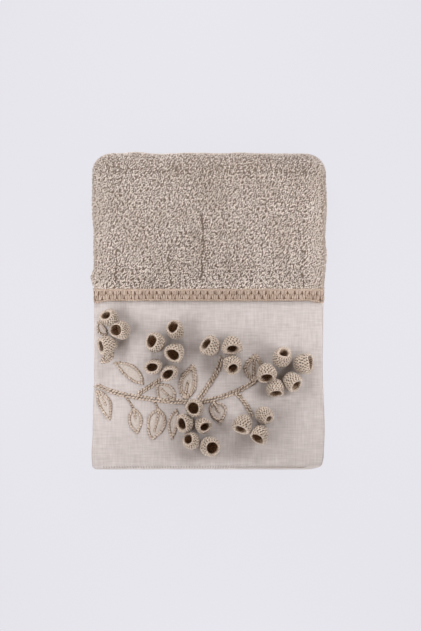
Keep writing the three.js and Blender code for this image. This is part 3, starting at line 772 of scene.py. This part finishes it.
# Painted shade: the pits between stitches are painted near black-brown; where knob stays high, at the lip, the
# colour stays light.
outer = ramp(tree, light_share, "#382a1e", "#d2c1b2")
inner = ramp(tree, light_share, "#55402d", "#cfb195")
tree.links.new(ramp(tree, stored(tree, "inside"), outer, inner), surface.inputs["Base Color"])
twist = add(tree, "Math", {"operation": "MULTIPLY_ADD"}, i0=stored(tree, "stitch"), i1=6 * np.pi,
            i2=add(tree, "Math", {"operation": "MULTIPLY"}, i0=stored(tree, "round"), i1=3 * np.pi))
twist = add(tree, "Math", {"operation": "SINE"}, i0=twist)
strands = add(tree, "Math", {"operation": "MULTIPLY_ADD"}, i0=twist, i1=0.15, i2=plump)
tree.links.new(add(tree, "Bump", None, Strength=0.7, Distance=0.0006, Height=strands), surface.inputs["Normal"])

CUP_WALL = np.array([
    # radius, height: up the outside, over the lip, down the inside
    (0, 0), (4.2, 0.4), (7.2, 3.2), (8.8, 7.4), (8.8, 11), (8.1, 14), (6.7, 15.9), (5.2, 15.1), (5.6, 11.2),
    (6.2, 7.8), (5.0, 4.4), (2.4, 2.5), (0, 2.2),
])
CUPS = {
    # name: x, y, lean from upright, compass angle it leans to, size, pinch across the lean, the mouth's width
    # share, how far the mouth is drawn out of round, and along which heading
    "cup_a1": (-98.6, -7, 39, 140, 1.0, 0.95, 0.86, 1.12, 20),
    "cup_a2": (-87.4, -19.0, 41, 180, 1.04, 1.0, 1.22, 1.2, 5),
    "cup_a3": (-101, -33.6, 56, 190, 1.06, 0.95, 0.92, 1.12, 100),
    "cup_b1": (-33.5, -19.2, 33, 120, 1.04, 0.94, 1.06, 1.08, 62),
    "cup_b2": (-52.8, -31.4, 34, 160, 1.07, 1.0, 1.05, 1.05, 90),
    "cup_b3": (-34, -41.5, 18, 225, 1.1, 0.95, 1.06, 1.2, -30),
    "cup_b4": (-54.9, -55.2, 14, 200, 0.98, 0.85, 1.06, 1.15, -5),
    "cup_b5": (-39, -61.2, 20, 218, 1.0, 0.85, 1.08, 1.18, 40),
    "cup_c1": (1.8, -34.8, 42, 155, 1.05, 1.0, 0.85, 1.25, 50),
    "cup_c2": (22.5, -34.3, 28, 285, 1.07, 1.0, 0.84, 1.25, 0),
    "cup_c3": (22.8, -52.7, 38, 280, 1.04, 1.0, 0.95, 1.05, 75),
    "cup_d1": (72.3, -46.5, 45, 70, 1.1, 0.96, 0.8, 1.05, 60),
    "cup_d2": (93.5, -52.4, 64, 10, 1.1, 1.0, 1.08, 1.12, 80),
    "cup_d3": (57.4, -61.6, 42, 262, 1.06, 1.0, 1.05, 1.12, 10),
    "cup_d4": (82.4, -69.5, 52, 315, 1.05, 0.94, 0.97, 1.12, 55),
    "cup_d5": (65.8, -76.2, 56, 272, 0.98, 1.0, 1.1, 1.12, 3),
    "cup_e1": (-14.2, -96.6, 12, 160, 1.02, 0.96, 1.12, 1.05, -50),
    "cup_e2": (-23.6, -111.2, 28, 190, 0.98, 1.0, 0.96, 1.2, 100),
    "cup_e3": (-6.2, -113.4, 24, 330, 0.95, 0.9, 0.92, 1.2, 35),
    "cup_e4": (-17.4, -129.0, 36, 150, 0.95, 1.0, 0.9, 1.05, 80),
    "cup_e5": (0.6, -134.2, 24, 335, 1.1, 0.97, 1.1, 1.05, -60),
    "cup_f1": (33.7, -112.4, 45, 248, 1.06, 0.96, 0.82, 1.22, -28),
    "cup_f2": (54.6, -103.5, 56, 322, 1.0, 0.94, 0.7, 1.0, 45),
    "cup_f3": (50.5, -122, 44, 238, 1.0, 1.0, 1.05, 1.2, -42),
}
ROUND_PITCH = 2.1
STITCHES = 19
POINTS_ROUND = 95
RINGS = 50
LIP_WIDTH = 1.3
HEIGHT_OF_MIDDLE = 8.5


def cup(name, x, y, lean, towards, size, pinch, mouth, drawn, heading, rng):
    """A surface of revolution about a leaning axis: the wall is a smooth line through CUP_WALL, pitted between
    its stitches by max(0, cos(2 pi u) cos(pi v) + 0.12) for stitch u of round v, so that each round's pits lie
    half a stitch on from the last, and are shallow at the lip. Towards the lip the wall is stretched by drawn
    along heading, and the mouth has its own width share."""
    line, _ = smooth_line(CUP_WALL, 1.0)
    arc = np.r_[0, np.cumsum(np.linalg.norm(np.diff(line, axis=0), axis=1))]
    steps, sides = RINGS, POINTS_ROUND
    want = np.interp(np.linspace(0, 1, steps), [0, 0.1, 0.8, 1], [0, 5, arc[-1] * 0.72, arc[-1]])
    r, h = np.interp(want, arc, line[:, 0]), np.interp(want, arc, line[:, 1])
    tr, th = np.gradient(r), np.gradient(h)
    nr, nh = th / np.hypot(tr, th), -tr / np.hypot(tr, th)
    lip = want[np.argmax(h)]
    inner = 1 / (1 + np.exp(-(want - lip - 1.7) * 5))
    r = r * (1 + (mouth - 1) / (1 + np.exp(-(want - lip) * 1.4)))
    t = np.arange(sides) * 2 * np.pi / sides
    v = (want - lip) / ROUND_PITCH + 1
    phase = rng.uniform(0, 2 * np.pi, 3)
    u = STITCHES * t[None] / (2 * np.pi) + 0.12 * np.sin(2 * np.pi * v / 2.7 + phase[0])[:, None]
    v_here = v[:, None] + 0.14 * np.sin(5 * t + phase[1])
    lattice = np.cos(2 * np.pi * u) * np.cos(np.pi * v_here)
    depth = 1 - 0.85 * np.exp(-(((want - lip) / LIP_WIDTH) ** 2))[:, None]
    # knob sets the pits in the wall and their painted shade in the colour, both shallow at the lip.
    knob = 1 - np.clip(lattice + 0.12, 0, 1) * rng.uniform(0.45, 1.0, lattice.shape) * depth
    push = (1.3 * knob - 1.0 - 0.25 * np.clip(-lattice, 0, 1) + rng.normal(0, 0.1, knob.shape))
    push = push * np.clip(r / 3, 0, 1)[:, None]
    wander = 1 + 0.025 * np.cos(2 * t + phase[0]) + 0.02 * np.cos(3 * t + phase[1])
    rr = np.maximum(r[:, None] + push * nr[:, None], 0) * wander
    near_lip = np.exp(-(((want - lip) / 4) ** 2))[:, None]
    uneven_lip = 0.45 * np.cos(2 * t + phase[2]) + 0.3 * np.cos(3 * t + phase[0])
    hh = h[:, None] + push * nh[:, None] + uneven_lip * near_lip
    tilt, compass, way = np.radians(lean), np.radians(towards), np.radians(heading)
    ahead = np.array([np.cos(compass), np.sin(compass), 0])
    up = np.array([0.0, 0.0, 1.0])
    axis = ahead * np.sin(tilt) + up * np.cos(tilt)
    down = ahead * np.cos(tilt) - up * np.sin(tilt)
    across = np.cross(down, axis) * pinch
    local = ((rr * np.sin(t))[..., None] * down + (rr * np.cos(t))[..., None] * across
             + (hh - HEIGHT_OF_MIDDLE)[..., None] * axis)
    middle = axis * (h.max() - HEIGHT_OF_MIDDLE)
    share = np.clip((h - 7) / 8, 0, 1)[:, None] ** 1.5 * np.ones(sides)
    rel = local - middle
    long_way, cross_way = np.array([np.cos(way), np.sin(way), 0]), np.array([-np.sin(way), np.cos(way), 0])
    grow = (rel @ long_way) * share * (drawn - 1)
    draw_in = (rel @ cross_way) * share * (1 / drawn - 1)
    local = local + grow[..., None] * long_way + draw_in[..., None] * cross_way
    points = local.reshape(-1, 3) * size + [x, y, 0]
    points[:, 2] += LINEN_TOP_Z + 0.15 - points[:, 2].min()
    made = piece(name + "_crocheted", points, grid_faces(steps, sides, wrap=True), cup_yarn, "embroidery_yarn",
                 [name], inside=np.repeat(inner, sides), knob=knob.ravel(), round=np.repeat(v, sides),
                 stitch=np.tile(t * STITCHES / (2 * np.pi), steps))
    face = made.data.polygons[len(made.data.polygons) // 3]
    if face.normal.dot(face.center - Vector(points.mean(0) * MM)) < 0:
        made.data.flip_normals()
    return made


cups = [cup(name, *row, rng) for name, row in CUPS.items()]

# Studio: a pale floor that stays even, two soft strips close by on the left and the right, so that shadows
# fall inwards, two softer lamps further off beyond the fold and the hem, which light the shadows from the ends,
# and the camera straight above the towel.
floor_mesh = bpy.data.meshes.new("floor")
floor_mesh.from_pydata([(-3, -3, 0), (3, -3, 0), (3, 3, 0), (-3, 3, 0)], [], [(0, 1, 2, 3)])
floor = bpy.data.objects.new("floor", floor_mesh)
bpy.context.scene.collection.objects.link(floor)
board = bpy.data.materials.new("pale studio floor")
board.use_nodes = True
surface = board.node_tree.nodes["Principled BSDF"]
surface.inputs["Base Color"].default_value = colour("#303034")
surface.inputs["Roughness"].default_value = 0.9
surface.inputs["Specular IOR Level"].default_value = 0.0
surface.inputs["Emission Color"].default_value = colour("#e6e5eb")
surface.inputs["Emission Strength"].default_value = 0.97
floor_mesh.materials.append(board)

for name, place_at, power, length, width in (
        ("light_left", (-0.24, -0.05, 0.22), 0.62, 0.26, 0.07),
        ("light_right", (0.24, -0.02, 0.22), 0.57, 0.26, 0.07),
        ("light_top", (-0.02, 0.42, 0.3), 1.6, 0.2, 0.2), ("light_front", (0.0, -0.55, 0.1), 1.4, 0.15, 0.15)):
    lamp = bpy.data.lights.new(name, "AREA")
    lamp.energy = power
    lamp.shape = "RECTANGLE"
    lamp.size = length
    lamp.size_y = width
    light = bpy.data.objects.new(name, lamp)
    light.location = place_at
    light.rotation_euler = (Vector((0, 0, 0.04)) - Vector(place_at)).to_track_quat("-Z", "Y").to_euler()
    light.visible_camera = False
    bpy.context.scene.collection.objects.link(light)
world = bpy.data.worlds.new("studio")
world.use_nodes = True
world.node_tree.nodes["Background"].inputs["Color"].default_value = colour("#efc9aa")
world.node_tree.nodes["Background"].inputs["Strength"].default_value = 0.15
# Past the floor's far edge the room looks as pale as the floor, while its weak light on the towel stays warm.
room = world.node_tree
warm_light, far_wall = room.nodes["Background"], room.nodes.new("ShaderNodeBackground")
far_wall.inputs["Color"].default_value = colour("#e6e5eb")
seen_or_lit = room.nodes.new("ShaderNodeMixShader")
rays = room.nodes.new("ShaderNodeLightPath")
for socket, source in enumerate((rays.outputs["Is Camera Ray"], warm_light.outputs[0], far_wall.outputs[0])):
    room.links.new(source, seen_or_lit.inputs[socket])
room.links.new(seen_or_lit.outputs[0], room.nodes["World Output"].inputs["Surface"])
bpy.context.scene.world = world
bpy.context.scene.view_settings.view_transform = "Standard"

camera = bpy.data.objects.new("camera", bpy.data.cameras.new("camera"))
camera.data.lens = 79.9
camera.data.sensor_width = 36
camera.location = (0.0015, -0.0045, 1.44)
bpy.context.scene.collection.objects.link(camera)
bpy.context.scene.camera = camera
